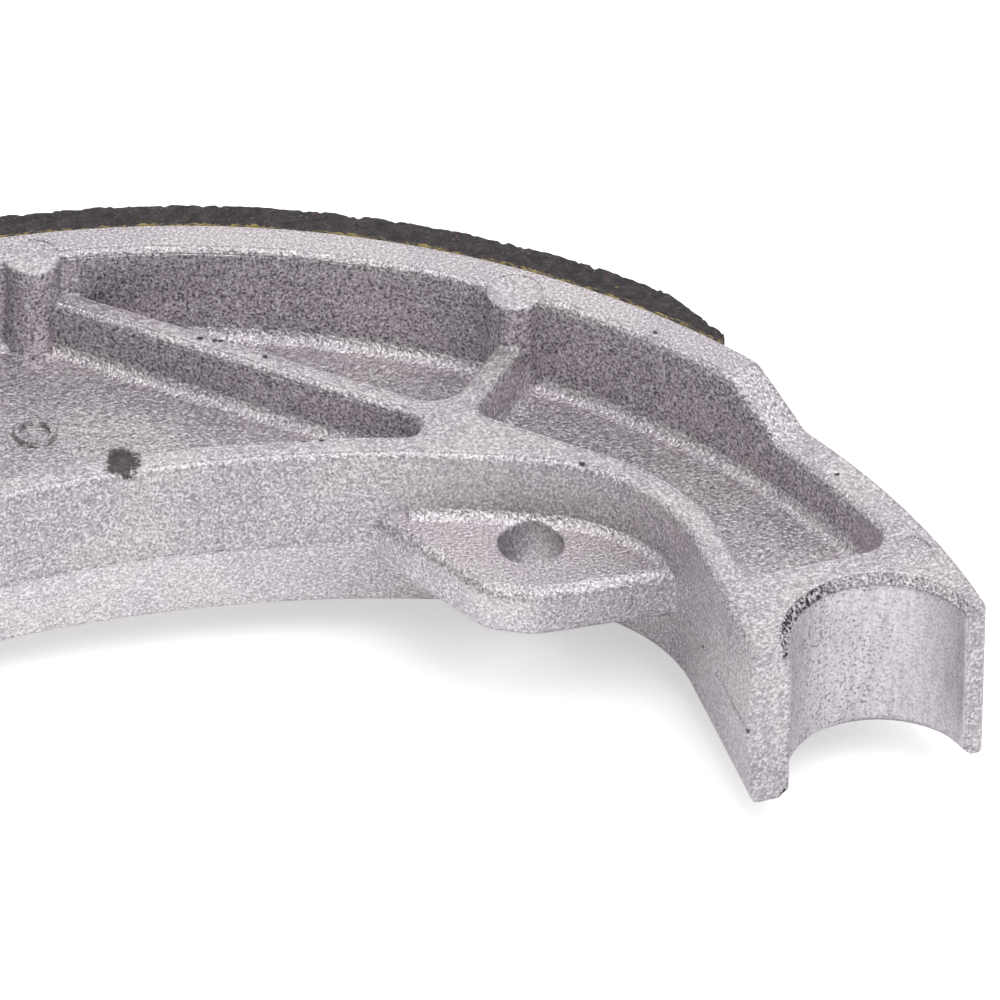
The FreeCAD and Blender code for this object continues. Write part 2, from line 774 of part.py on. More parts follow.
# Shallow ejector marks on the upper side
rim_level = FreeCAD.Placement(V(0, 0, RIM_HALF), FreeCAD.Rotation())
end_level = FreeCAD.Placement(V(0, 0, END_HALF), FreeCAD.Rotation())
boss_mark_plan = new_sketch(casting, "boss_mark_plan", "XY_Plane", rim_level)
for angle in (size("boss_outer_angle"), size("boss_inner_angle")):
    for turn in (angle, 180 - angle):
        add_circle(boss_mark_plan, polar(CENTRE, BOSS_CIRCLE, turn), "mark_radius")
pivot_mark_plan = new_sketch(casting, "pivot_mark_plan", "XY_Plane", end_level)
add_circle(pivot_mark_plan, V(RIM_OUTER - size("mark_inset"), size("mark_y"), 0), "mark_radius")
MARKS = [("boss_marks", boss_mark_plan, "boss_mark_depth"), ("pivot_mark", pivot_mark_plan, "mark_depth")]
for name, plan, depth in MARKS:
    marks = casting.newObject("PartDesign::Pocket", name)
    marks.Profile = plan
    bind(marks, "Length", "Sizes." + depth)
    casting.Tip = marks
    doc.recompute()

# Plain mould ring on the web floor
ring_plan = new_sketch(casting, "ring_plan", "XY_Plane", floor_level)
for alias in ("ring_radius", "ring_radius - Sizes.ring_wall"):
    add_circle(ring_plan, V(size("ring_x"), RIM_INNER - size("ring_inset"), 0), alias)
mould_ring = casting.newObject("PartDesign::Pad", "mould_ring")
mould_ring.Profile = ring_plan
bind(mould_ring, "Length", "Sizes.ring_height")
casting.Tip = mould_ring
doc.recompute()

# Adhesive film between the rim and the lining
adhesive = doc.addObject("PartDesign::Body", "adhesive")
adhesive.Label = "adhesive"
bond_plan = new_sketch(adhesive, "bond_plan")
bond_end = size("bond_end_angle")
closed_path(bond_plan, polar(CENTRE, BOND_OUTER, bond_end), [
    (polar(CENTRE, BOND_OUTER, 180 - bond_end), CENTRE, True),
    (polar(CENTRE, RIM_OUTER, 180 - bond_end),),
    (polar(CENTRE, RIM_OUTER, bond_end), CENTRE, False),
    (polar(CENTRE, BOND_OUTER, bond_end),),
])
film = adhesive.newObject("PartDesign::Pad", "film")
film.Profile = bond_plan
film.Midplane = True
bind(film, "Length", "2 * (Sizes.rim_half_width - Sizes.bond_edge)")
adhesive.Tip = film
doc.recompute()

# Friction lining with tapered ends
lining = doc.addObject("PartDesign::Body", "friction_lining")
lining.Label = "friction_lining"
lining_plan = new_sketch(lining, "lining_plan")
lining_end = size("lining_end_angle")
taper = size("lining_taper_angle")
taper_radius = DRUM - size("lining_taper_depth")
closed_path(lining_plan, polar(CENTRE, DRUM, taper), [
    (polar(CENTRE, DRUM, 180 - taper), CENTRE, True),
    (polar(CENTRE, taper_radius, 180 - lining_end),),
    (polar(CENTRE, BOND_OUTER, 180 - lining_end),),
    (polar(CENTRE, BOND_OUTER, lining_end), CENTRE, False),
    (polar(CENTRE, taper_radius, lining_end),),
    (polar(CENTRE, DRUM, taper),),
])
segment = lining.newObject("PartDesign::Pad", "segment")
segment.Profile = lining_plan
segment.Midplane = True
bind(segment, "Length", "2 * (Sizes.rim_half_width - Sizes.lining_edge)")
lining.Tip = segment
doc.recompute()

# Checks before export
BODIES = [casting, adhesive, lining]
for thing in doc.Objects:
    if "Invalid" in thing.State or "Error" in thing.State:
        raise ValueError("%s is not up to date" % thing.Label)
for body in BODIES:
    if body.Shape.isNull() or not body.Shape.isValid() or len(body.Shape.Solids) != 1:
        raise ValueError("%s is not one valid solid" % body.Label)
for body in BODIES:
    body.Shape.exportStep("parts/%s.step" % body.Label)
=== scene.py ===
import bpy
import math
from functools import partial
import numpy as np
from mathutils import Matrix, Vector


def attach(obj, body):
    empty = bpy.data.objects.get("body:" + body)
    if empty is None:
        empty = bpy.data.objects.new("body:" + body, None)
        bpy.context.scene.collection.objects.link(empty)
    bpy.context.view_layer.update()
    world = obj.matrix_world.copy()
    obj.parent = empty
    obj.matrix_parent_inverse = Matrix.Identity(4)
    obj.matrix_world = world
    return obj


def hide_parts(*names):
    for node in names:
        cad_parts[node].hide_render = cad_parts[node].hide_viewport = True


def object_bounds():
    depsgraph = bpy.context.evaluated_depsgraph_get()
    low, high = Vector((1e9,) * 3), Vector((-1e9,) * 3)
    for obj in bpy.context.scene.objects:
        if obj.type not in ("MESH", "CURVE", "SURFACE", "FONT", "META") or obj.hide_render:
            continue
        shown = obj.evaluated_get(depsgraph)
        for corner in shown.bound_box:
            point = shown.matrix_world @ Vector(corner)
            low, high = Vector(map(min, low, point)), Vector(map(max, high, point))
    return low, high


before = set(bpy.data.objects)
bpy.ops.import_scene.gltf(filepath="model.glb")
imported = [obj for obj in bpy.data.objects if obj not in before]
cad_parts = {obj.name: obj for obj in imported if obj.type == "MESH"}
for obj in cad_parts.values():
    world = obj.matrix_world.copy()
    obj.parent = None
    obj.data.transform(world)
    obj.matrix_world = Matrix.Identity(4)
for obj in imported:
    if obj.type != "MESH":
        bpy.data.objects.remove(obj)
cad_low, cad_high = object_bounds()

# Shoe casting
# The die-cast aluminium shoe keeps its CAD shape. Its skin is shot-blasted: a fine grain with painted
# glints on the flats, a coarser one on pocket floors, slopes and edges. The half-bore is machined.
MM = 0.001
ALUMINIUM = "#CEC8CB"
ALUMINIUM_COOL = "#C2BCC1"
ALUMINIUM_PIT_AND_SHADE = "#666068"
# Near-white, for the painted glints
ALUMINIUM_PAINTED_GLINT = "#FFFDFF"
SMOOTH = {"interpolation_type": "SMOOTHSTEP"}
FALLING = (1, 0)

# Faces told apart by height and by how far they look up
LOW_FACE_MM = (4.0, 5.4)
FACES_UP = (0.25, 0.6)
STEEPEST_SLOPE = (0.2, 0.5)
FLATTEST_SLOPE = (0.93, 0.985)
UPRIGHT = (0.25, 0.45)
SPINE_CENTRE_MM = (0.0, -43.1)
SPINE_RADIUS_MM = 76.19
POCKET_FROM_SPINE_MM = (SPINE_RADIUS_MM + 2.2, SPINE_RADIUS_MM + 2.6)
POCKET_ABOVE_MM = (12.0, 16.0)

# Grain of the blasted skin, as coarse as the photograph shows it; any finer would fall between pixels
FINE_GRAIN_MM = 0.2
FINE_DEPTH_MM = 0.06
FINE_PITS = (0.38, 0.47)
FINE_PAINTED_GLINTS = (0.53, 0.62)
COARSE_GRAIN_MM = 0.29
COARSE_DEPTH_MM = 0.14
COARSE_PITS = (0.36, 0.45)
COARSE_PAINTED_GLINTS = (0.58, 0.67)
LOW_FACE_GRIT = 0.75
POCKET_GRIT = 0.6
UPRIGHT_DEEPER = 0.8
RIPPLE_MM = 1.1
RIPPLE_DEPTH_MM = 0.03
WAVE_MM = 7.0
WAVE_CHANGE = (0.35, 0.65)
SOFT_EDGE_MM = 0.5
PIT_SHARE = 0.45
# A larger share of dark pitting on the pockets' walls: painted shade
POCKET_SHADE_PIT_SHARE = 0.4
COARSE_PIT_SHARE = 0.4
PAINTED_GLINT_SHARE = 0.65
ROUGHNESS = 0.3
GRAIN_ROUGHNESS = 0.25
SLOPE_ROUGHNESS = 0.12

# Machined half-bore with streaks along it, and the torn edge round its mouth
PIVOT_X_MM = 50.85
BORE_RADIUS_MM = 6.55
BORE_SKIN_MM = (0.05, 0.12)
BORE_BELOW_MM = (6.7, 6.9)
BORE_SMOOTHER = 0.75
BORE_ALUMINIUM = "#E8E4E9"
BORE_DRAWN_TONE = "#D8D4D9"
DRAWN_MM = 0.5
DRAWN_STRETCH = (1, 1, 0.12)
DRAWN_CHANGE = (0.35, 0.65)
BORE_MOTTLE = "#8E8A91"
MOTTLE_GRAIN = (0.4, 0.55)
MOTTLE_SHARE = 0.3
BORE_TEAR = "#77737A"
TEAR_MM = 0.26
TEAR_SPOTS = (0.57, 0.66)
TEAR_FADE_MM = (PIVOT_X_MM + 0.5, PIVOT_X_MM + 5.5)
TEAR_SHARE = 0.7
MOUTH_INSIDE_MM = (BORE_RADIUS_MM + 0.03, BORE_RADIUS_MM + 0.12)
MOUTH_OUTSIDE_MM = (BORE_RADIUS_MM + 0.6, BORE_RADIUS_MM + 0.75)
MOUTH_ABOVE_MM = (5.6, 5.9)
MOUTH_DEPTH_MM = 0.2
MOUTH_DARK = "#3C3C42"
MOUTH_DARK_GRAIN = (0.4, 0.58)
MOUTH_DARK_SIDE_MM = (PIVOT_X_MM - 3.0, PIVOT_X_MM + 1.5)

# Pores with painted shade inside them, painted shade round the mould ring, and the oil stain that slants
# down the flange
PORES_MM = [
    (17.6, 47.24, 6.5), (18.5, 46.7, 6.5), (18.9, 46.5, 6.5), (21.2, 43.8, 6.5),
    (20.4, 34.0, 6.5), (21.7, 33.6, 6.5), (37.9, 25.2, 6.4), (46.25, 33.3, 10.0), (54.2, 18.25, 6.5),
    (41.45, 10.8, 0.0), (41.2, 1.0, 0.0),
]
# Near-black: painted shade inside the pores
PORE_PAINTED_SHADE = "#2A2628"
PORE_MM = (0.12, 0.26)
PORE_DEPTH_MM = 0.12
PORE_BEND_MM = 0.35
PORE_BEND_SIZE_MM = 0.4
FAR_FROM_PORE_MM = 9.0
RING_MM = (4.8, 45.6, 0)
RING_RADII_MM = (1.05, 1.5)
RING_SHADE_MM = (0.05, 0.2)
RING_SHADE_PATCHES = (0.4, 0.6)
RING_ABOVE_MM = (2.0, 2.4)
RING_SHADE_SHARE = 0.45
# The stain's dark colour also paints the shade along the mould ring's edges
OIL_STAIN_AND_RING_SHADE = "#2E2A28"
STAIN_MM = (7.95, 36.3, 6.0)
STAIN_ACROSS = (0.936, -0.352, 0.0)
STAIN_SLANT = (0.219, 0.583, 0.783)
STAIN_RADIUS_MM = 1.22
STAIN_EDGE = (0.75, 1.15)
STAIN_RAG_MM = 0.9
STAIN_RAG = 2.4
NOISE_MIDDLE = 0.5
STAIN_DEPTH_MM = (6.6, 7.6)
MARK_SHARE = 0.85


def linear(colour):
    """A hex colour as the linear RGBA values that a shader socket takes."""
    parts = [int(colour[index:index + 2], 16) / 255 for index in (1, 3, 5)]
    return [part / 12.92 if part <= 0.04045 else ((part + 0.055) / 1.055) ** 2.4 for part in parts] + [1]


def add_node(tree, kind, *values, **named):
    """Adds a shader node and gives its first output.

    Lower-case names are the node's settings, capitalised ones its inputs, with _ for a space, and
    plain values fill its inputs in order. A value is a number, a vector, a hex colour or an output.
    """
    node = tree.nodes.new("ShaderNode" + kind)
    for name, value in named.items():
        if name.islower():
            setattr(node, name, value)
    filled = list(zip([socket for socket in node.inputs if socket.enabled], values))
    for name, value in named.items():
        if not name.islower():
            filled.append((node.inputs[name.replace("_", " ")], value))
    for socket, value in filled:
        if isinstance(value, bpy.types.NodeSocket):
            tree.links.new(value, socket)
        else:
            socket.default_value = linear(value) if isinstance(value, str) else value
    return next((socket for socket in node.outputs if socket.enabled), None)


def new_material(name):
    """An empty material, what adds nodes to it, and the place on the piece in millimetres."""
    material = bpy.data.materials.new(name)
    material.use_nodes = True
    material.node_tree.nodes.clear()
    add = partial(add_node, material.node_tree)
    place = add("VectorMath", add("TexCoord").node.outputs["Object"], 1 / MM, operation="SCALE")
    return material, add, place


def cast_aluminium():
    """Shot-blasted die-cast aluminium: pale satin metal with near-white specks that paint glints, and dark
    pitting, coarser on slopes and in the pockets, where extra pitting paints shade on the walls, and a
    smoother, streaked bore. Painted shade also lines the mould ring and fills the pores."""
    material, add, place = new_material("shot_blasted_aluminium")
    x, y, z = add("SeparateXYZ", place).node.outputs
    flat_place = add("CombineXYZ", x, y)
    height = add("Math", z, operation="ABSOLUTE")
    facing = add("SeparateXYZ", add("TexCoord").node.outputs["Normal"]).node.outputs["Z"]
    upward = add("Math", facing, operation="ABSOLUTE")

    # Where the grain is coarse: low upward faces, slopes, and the pockets' walls
    low = add("MapRange", height, *LOW_FACE_MM, *FALLING, **SMOOTH)
    level = add("MapRange", upward, *FACES_UP, **SMOOTH)
    low_faces = add("Math", low, level, operation="MULTIPLY")
    not_steep = add("MapRange", upward, *STEEPEST_SLOPE, **SMOOTH)
    not_flat = add("MapRange", upward, *FLATTEST_SLOPE, *FALLING, **SMOOTH)
    sloping = add("Math", not_steep, not_flat, operation="MULTIPLY")
    upright = add("MapRange", upward, *UPRIGHT, *FALLING, **SMOOTH)
    from_spine = add("VectorMath", flat_place, (*SPINE_CENTRE_MM, 0), operation="DISTANCE")
    past_spine = add("MapRange", from_spine, *POCKET_FROM_SPINE_MM, **SMOOTH)
    above_ends = add("MapRange", y, *POCKET_ABOVE_MM, **SMOOTH)
    pocket = add("Math", past_spine, above_ends, operation="MULTIPLY")
    pocket = add("Math", pocket, upright, operation="MULTIPLY")
    low_coarse = add("Math", low_faces, LOW_FACE_GRIT, operation="MULTIPLY")
    pocket_coarse = add("Math", pocket, POCKET_GRIT, operation="MULTIPLY")
    coarse = add("Math", low_coarse, sloping, operation="MAXIMUM")
    coarse = add("Math", coarse, pocket_coarse, operation="MAXIMUM")

    # Machined bore and the torn edge of its mouth
    from_pivot = add("VectorMath", flat_place, (PIVOT_X_MM, 0, 0), operation="DISTANCE")
    off_bore = add("Math", from_pivot, BORE_RADIUS_MM, operation="SUBTRACT")
    off_bore = add("Math", off_bore, operation="ABSOLUTE")
    on_bore = add("MapRange", off_bore, *BORE_SKIN_MM, *FALLING, **SMOOTH)
    below_top = add("MapRange", y, *BORE_BELOW_MM, *FALLING, **SMOOTH)
    bore = add("Math", on_bore, below_top, operation="MULTIPLY")
    bore_share = add("Math", bore, BORE_SMOOTHER, operation="MULTIPLY")
    cast = add("Math", 1, bore_share, operation="SUBTRACT")
    outside_bore = add("MapRange", from_pivot, *MOUTH_INSIDE_MM, **SMOOTH)
    near_bore = add("MapRange", from_pivot, *MOUTH_OUTSIDE_MM, *FALLING, **SMOOTH)
    mouth = add("Math", outside_bore, near_bore, operation="MULTIPLY")
    near_top = add("MapRange", height, *MOUTH_ABOVE_MM, **SMOOTH)
    mouth = add("Math", mouth, near_top, operation="MULTIPLY")

    # Grain heights
    fine = add("TexNoise", place, 1 / FINE_GRAIN_MM, Detail=2.0, Roughness=0.6)
    grit = add("TexNoise", place, 1 / COARSE_GRAIN_MM, Detail=1.5, Roughness=0.6, Distortion=0.3)
    ripple = add("TexNoise", place, 1 / RIPPLE_MM, Detail=1.0, Roughness=0.5, Distortion=0.4)
    wave = add("TexNoise", place, 1 / WAVE_MM, Detail=1.0, Roughness=0.5)
    deeper = add("Math", upright, UPRIGHT_DEEPER, operation="MULTIPLY")
    deeper = add("Math", deeper, 1, operation="ADD")
    fine_share = add("Math", cast, deeper, operation="MULTIPLY")
    grit_share = add("Math", coarse, cast, operation="MULTIPLY")
    relief = None
    for grain, depth, share in ((fine, FINE_DEPTH_MM, fine_share), (grit, COARSE_DEPTH_MM, grit_share),
                                (ripple, RIPPLE_DEPTH_MM, 1), (grit, MOUTH_DEPTH_MM, mouth)):
        layer = add("Math", grain, depth * MM, operation="MULTIPLY")
        layer = add("Math", layer, share, operation="MULTIPLY")
        relief = layer if relief is None else add("Math", relief, layer, operation="ADD")

    # Pores: the nearest of the points, seen through a small bend that makes each one ragged. Their
    # near-black colour is painted shade inside the holes.
    bend = add("TexNoise", place, 1 / PORE_BEND_SIZE_MM).node.outputs["Color"]
    bend = add("VectorMath", bend, PORE_BEND_MM, operation="SCALE")
    bent = add("VectorMath", place, bend, operation="ADD")
    pore_distance = FAR_FROM_PORE_MM
    for point in PORES_MM:
        centre = tuple(value + PORE_BEND_MM / 2 for value in point)
        away = add("VectorMath", bent, centre, operation="DISTANCE")
        pore_distance = add("Math", pore_distance, away, operation="MINIMUM")
    pore = add("MapRange", pore_distance, *PORE_MM, *FALLING, **SMOOTH)
    pore_depth = add("Math", pore, PORE_DEPTH_MM * MM, operation="MULTIPLY")
    relief = add("Math", relief, pore_depth, operation="SUBTRACT")

    # Painted shade: dark lines along both edges of the mould ring, in patches, on its upper side
    from_ring = add("VectorMath", flat_place, RING_MM, operation="DISTANCE")
    edges = []
    for radius in RING_RADII_MM:
        off_edge = add("Math", from_ring, radius, operation="SUBTRACT")
        edges.append(add("Math", off_edge, operation="ABSOLUTE"))
    to_edge = add("Math", *edges, operation="MINIMUM")
    ring_shade = add("MapRange", to_edge, *RING_SHADE_MM, *FALLING, **SMOOTH)
    patches = add("MapRange", ripple, *RING_SHADE_PATCHES, **SMOOTH)
    upper_side = add("MapRange", z, *RING_ABOVE_MM, **SMOOTH)
    for share in (patches, upper_side, RING_SHADE_SHARE):
        ring_shade = add("Math", ring_shade, share, operation="MULTIPLY")

    # Oil stain: a ragged round column that slants down across the flange
    from_stain = add("VectorMath", place, STAIN_MM, operation="SUBTRACT")
    across = add("VectorMath", from_stain, STAIN_ACROSS, operation="DOT_PRODUCT")
    along = add("VectorMath", from_stain, STAIN_SLANT, operation="DOT_PRODUCT")
    reach = add("VectorMath", add("CombineXYZ", across, along), operation="LENGTH")
    reach = add("Math", reach, 1 / STAIN_RADIUS_MM, operation="MULTIPLY")
    rag = add("TexNoise", place, 1 / STAIN_RAG_MM, Detail=4.0, Roughness=0.75)
    rag = add("Math", rag, NOISE_MIDDLE, operation="SUBTRACT")
    rag = add("Math", rag, STAIN_RAG, operation="MULTIPLY")
    reach = add("Math", reach, rag, operation="ADD")
    stain = add("MapRange", reach, *STAIN_EDGE, *FALLING, **SMOOTH)
    stain_away = add("VectorMath", from_stain, operation="LENGTH")
    near_stain = add("MapRange", stain_away, *STAIN_DEPTH_MM, *FALLING, **SMOOTH)
    stain = add("Math", stain, near_stain, operation="MULTIPLY")
    stain = add("Math", stain, MARK_SHARE, operation="MULTIPLY")

    # Colour of the bore: drawn streaks, a fine mottle, and torn spots on its inner side
    stretched = add("VectorMath", place, DRAWN_STRETCH, operation="MULTIPLY")
    drawn = add("TexNoise", stretched, 1 / DRAWN_MM, Detail=2.0, Roughness=0.6)
    drawn = add("MapRange", drawn, *DRAWN_CHANGE, **SMOOTH)
    machined = add("Mix", drawn, BORE_ALUMINIUM, BORE_DRAWN_TONE, data_type="RGBA")
    mottle = add("MapRange", fine, *MOTTLE_GRAIN, *FALLING, **SMOOTH)
    mottle = add("Math", mottle, MOTTLE_SHARE, operation="MULTIPLY")
    machined = add("Mix", mottle, machined, BORE_MOTTLE, data_type="RGBA")
    torn = add("TexNoise", place, 1 / TEAR_MM, Detail=1.0, Roughness=0.5)
    torn = add("MapRange", torn, *TEAR_SPOTS, **SMOOTH)
    torn_side = add("MapRange", x, *TEAR_FADE_MM, *FALLING, **SMOOTH)
    torn = add("Math", torn, torn_side, operation="MULTIPLY")
    torn = add("Math", torn, TEAR_SHARE, operation="MULTIPLY")
    machined = add("Mix", torn, machined, BORE_TEAR, data_type="RGBA")

    # Shares of the pitting, larger on the pockets' walls where it paints shade, of the painted glints and
    # of the dark mouth of the bore
    pits_and_pocket_shade = add("MapRange", fine, *FINE_PITS, *FALLING, **SMOOTH)
    pit_and_pocket_shade_share = add("Math", pocket, POCKET_SHADE_PIT_SHARE, operation="MULTIPLY")
    pit_and_pocket_shade_share = add("Math", pit_and_pocket_shade_share, PIT_SHARE, operation="ADD")
    pits_and_pocket_shade = add("Math", pits_and_pocket_shade, pit_and_pocket_shade_share, operation="MULTIPLY")
    pits_and_pocket_shade = add("Math", pits_and_pocket_shade, cast, operation="MULTIPLY")
    coarse_pits = add("MapRange", grit, *COARSE_PITS, *FALLING, **SMOOTH)
    coarse_pits = add("Math", coarse_pits, coarse, operation="MULTIPLY")
    coarse_pits = add("Math", coarse_pits, COARSE_PIT_SHARE, operation="MULTIPLY")
    # Painted glints: near-white specks in the colour, fine everywhere on the cast skin and coarser on the
    # pockets' walls
    painted_glints = add("MapRange", fine, *FINE_PAINTED_GLINTS, **SMOOTH)
    painted_glints = add("Math", painted_glints, PAINTED_GLINT_SHARE, operation="MULTIPLY")
    painted_glints = add("Math", painted_glints, cast, operation="MULTIPLY")
    pocket_glints = add("MapRange", grit, *COARSE_PAINTED_GLINTS, **SMOOTH)
    pocket_glints = add("Math", pocket_glints, pocket, operation="MULTIPLY")
    painted_glints = add("Math", painted_glints, pocket_glints, operation="MAXIMUM")
    mouth_dark = add("MapRange", grit, *MOUTH_DARK_GRAIN, *FALLING, **SMOOTH)
    mouth_side = add("MapRange", x, *MOUTH_DARK_SIDE_MM, *FALLING, **SMOOTH)
    mouth_dark = add("Math", mouth_dark, mouth_side, operation="MULTIPLY")
    mouth_dark = add("Math", mouth_dark, mouth, operation="MULTIPLY")
    pore = add("Math", pore, MARK_SHARE, operation="MULTIPLY")

    # Colours laid over one another, painted glints and painted shade among them
    tone = ALUMINIUM
    cool = add("MapRange", wave, *WAVE_CHANGE, **SMOOTH)
    for share, colour in ((cool, ALUMINIUM_COOL), (bore, machined), (pits_and_pocket_shade, ALUMINIUM_PIT_AND_SHADE),
                          (coarse_pits, ALUMINIUM_PIT_AND_SHADE), (painted_glints, ALUMINIUM_PAINTED_GLINT),
                          (mouth_dark, MOUTH_DARK), (ring_shade, OIL_STAIN_AND_RING_SHADE), (stain, OIL_STAIN_AND_RING_SHADE),
                          (pore, PORE_PAINTED_SHADE)):
        tone = add("Mix", share, tone, colour, data_type="RGBA")

    # The Bevel softens the sharp edges in the shading, except low down, where the mould ring is
    softened = add("Math", 1, low_faces, operation="SUBTRACT")
    softened = add("Math", softened, SOFT_EDGE_MM * MM, operation="MULTIPLY")
    rounded = add("Bevel", softened, samples=4)
    bump = add("Bump", Height=relief, Strength=1.0, Distance=1.0, Normal=rounded)
    roughness = add("Math", fine, GRAIN_ROUGHNESS, operation="MULTIPLY")
    roughness = add("Math", roughness, ROUGHNESS, operation="ADD")
    slope_rough = add("Math", sloping, SLOPE_ROUGHNESS, operation="MULTIPLY")
    roughness = add("Math", roughness, slope_rough, operation="ADD")
    surface = add("BsdfPrincipled", Base_Color=tone, Metallic=1.0, Roughness=roughness, Normal=bump)
    add("OutputMaterial", surface)
    return material


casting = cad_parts["shoe_casting"]
aluminium = cast_aluminium()
for material_slot in casting.material_slots:
    material_slot.material = aluminium


# Mould flash
# A thin ragged ridge of metal left where the two halves of the mould met, along the inner wall
# at half height. It follows the wall's middle outline: the wide arc, the corner arc and the leg.
SPINE_TURN = (73.3, 106.7)
SPINE_POINTS = 500
SPINE_SEED = 3
CORNER_CENTRE_MM = (31.88, 15.0)
CORNER_RADIUS_MM = 9.92
CORNER_TURN = (9, -2.6)
CORNER_POINTS = 24
LEG_POINTS = 150
# Each leg's name, its foot and its noise seed
LEGS = (("pivot", (41.17, 1.1), 13), ("cam", (-41.43, 6.6), 23))
FLASH_HEIGHT_MM = 0.16
FLASH_HALF_MM = 0.11
FLASH_CREST_MM = 0.03
FLASH_SINK_MM = 0.08
FLASH_MEAN = 0.55
FLASH_LAYERS = ((0.3, 9), (0.25, 3))
FLASH_RANGE = (0.05, 1)
FLASH_FADE_POINTS = 12
FLASH_WANDER_MM = 0.05
FLASH_WANDER_CELL = 14


def soft_noise(length, cell, seed):
    """A smooth random line from -1 to 1: random knots every cell points, eased from one to the next."""
    generator = np.random.default_rng(seed)
    knots = generator.uniform(-1, 1, int(length / cell) + 3)
    place = np.arange(length) / cell
    left = place.astype(int)
    share = place - left
    share = share * share * (3 - 2 * share)
    return knots[left] * (1 - share) + knots[left + 1] * share


def layered_noise(length, mean, layers, seed):
    """A mean plus soft noises; layers give each one's share and cell, and each has the next seed."""
    total = mean
    for index, (share, cell) in enumerate(layers):
        total = total + share * soft_noise(length, cell, seed + index)
    return total


def grid_mesh(name, points):
    """A closed mesh from a grid of points in millimetres: rows run along the piece, columns round it."""
    rows, columns = points.shape[:2]
    row_starts = np.arange(rows - 1)[:, None] * columns
    first = row_starts + np.arange(columns)
    second = row_starts + (np.arange(columns) + 1) % columns
    faces = np.stack([first, second, second + columns, first + columns], axis=2).reshape(-1, 4).tolist()
    faces.append(list(range(columns))[::-1])
    faces.append([(rows - 1) * columns + index for index in range(columns)])
    mesh = bpy.data.meshes.new(name)
    mesh.from_pydata((points.reshape(-1, 3) * MM).tolist(), [], faces)
    mesh.update()
    mesh.polygons.foreach_set("use_smooth", [True] * len(mesh.polygons))
    made = bpy.data.objects.new(name, mesh)
    bpy.context.scene.collection.objects.link(made)
    return made


def arc_points(centre, radius, turn, count):
    """Points on an arc: the centre plus the radius times the direction, which comes out too."""
    turns = np.radians(np.linspace(*turn, count))
    outward = np.stack([np.cos(turns), np.sin(turns)], axis=1)
    return np.array(centre) + radius * outward, outward


def flash_strip(name, line, outward, seed):
    """A low ridge along a line of the wall: its foot is sunk by a constant, its crest stands as high
    as a ragged noise says, fading out at both ends, and a slow noise lifts and lowers the whole."""
    count = len(line)
    ragged = np.clip(layered_noise(count, FLASH_MEAN, FLASH_LAYERS, seed), *FLASH_RANGE)
    to_end = np.minimum(np.arange(count), np.arange(count)[::-1])
    height = FLASH_HEIGHT_MM * ragged * np.clip(to_end / FLASH_FADE_POINTS, 0, 1)
    sunk = np.full(count, FLASH_SINK_MM)
    depths = np.stack([sunk, -height, -height, sunk], axis=1)
    lifts = np.array([FLASH_HALF_MM, FLASH_CREST_MM, -FLASH_CREST_MM, -FLASH_HALF_MM])
    wander = FLASH_WANDER_MM * soft_noise(count, FLASH_WANDER_CELL, seed + len(FLASH_LAYERS))
    ground = line[:, None, :] + outward[:, None, :] * depths[:, :, None]
    levels = wander[:, None] + lifts
    ridge = grid_mesh(name, np.concatenate([ground, levels[:, :, None]], axis=2))
    ridge.data.materials.append(aluminium)
    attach(ridge, "root")


spine, spine_out = arc_points(SPINE_CENTRE_MM, SPINE_RADIUS_MM, SPINE_TURN, SPINE_POINTS)
flash_strip("mould_flash", spine, spine_out, SPINE_SEED)
for side_name, foot, seed in LEGS:
    mirror = np.array([math.copysign(1, foot[0]), 1])
    corner, corner_out = arc_points(CORNER_CENTRE_MM, CORNER_RADIUS_MM, CORNER_TURN, CORNER_POINTS)
    leg = np.linspace(corner[-1], np.array(foot) * mirror, LEG_POINTS)[1:]
    line = np.vstack([corner, leg])
    outward = np.vstack([corner_out, np.repeat(corner_out[-1:], len(leg), axis=0)])
    flash_strip(f"mould_flash_{side_name}_leg", line * mirror, outward * mirror, seed)


# Adhesive
# A thin film of cured resin between rim and lining, with uneven beads squeezed out
# along both sides of the lining, against the rim.
RIM_RADIUS_MM = 58.9
LINING_HALF_MM = 9.1
FILM_MM = 0.15
FILM_GAP_MM = 0.01
FILM_LAP_MM = 0.02
FILM_END = 32.0
# Each bead's side of the lining and its noise seed
BEAD_SEEDS = ((-1, 11), (1, 21))
BEAD_WIDTH_MM = 0.95
BEAD_HEIGHT_MM = 0.85
BEAD_POWER = 1.3
BEAD_MEAN = 0.86
BEAD_LAYERS = ((0.1, 23), (0.12, 6), (0.1, 2))
BEAD_RANGE = (0.3, 1.03)
BEAD_ROWS = 1400
BEAD_STEPS = 6
RESIN_THIN = "#2B2417"
RESIN_THICK = "#8E7B3C"
RESIN_DUST = "#2E261A"
RESIN_BLOTCH_MM = 0.9
RESIN_BLOTCHES = (0.4, 0.6)
RESIN_DUST_MM = 0.35
RESIN_DUST_SPOTS = (0.55, 0.7)
RESIN_SKIN_MM = 0.25
RESIN_DEPTH_MM = 0.05


